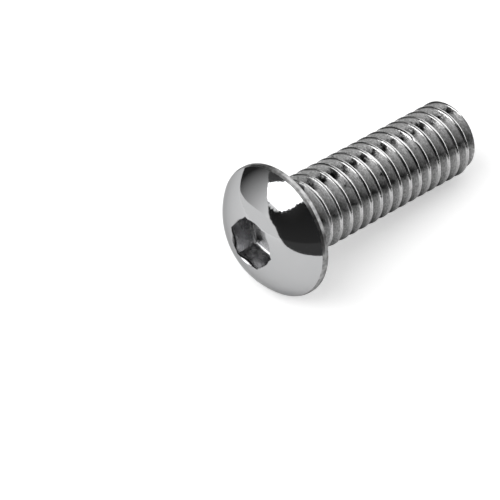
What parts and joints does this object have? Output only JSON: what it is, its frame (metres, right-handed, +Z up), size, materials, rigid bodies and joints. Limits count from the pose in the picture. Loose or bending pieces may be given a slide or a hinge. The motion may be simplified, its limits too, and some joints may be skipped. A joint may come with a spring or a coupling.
{
  "type": "button head screw",
  "caption": "Polished button head socket screw: low domed head with a hexagon socket, flat underside and a fully threaded shank with a chamfered tip, lying on its side.",
  "frame": {"origin": "on the ground, under the middle of the lying screw", "axes": "+X from the head towards the tip, +Z up; the screw's axis lies in the XZ plane and drops 6.9 degrees towards the tip"},
  "size_m": [0.0296, 0.0136, 0.0136],
  "materials": {
    "chrome": "mirror bright chrome plate over steel, with satin rolled thread flanks"
  },
  "bodies": {
    "root": {"button_head_screw": "chrome"}
  },
  "joints": []
}
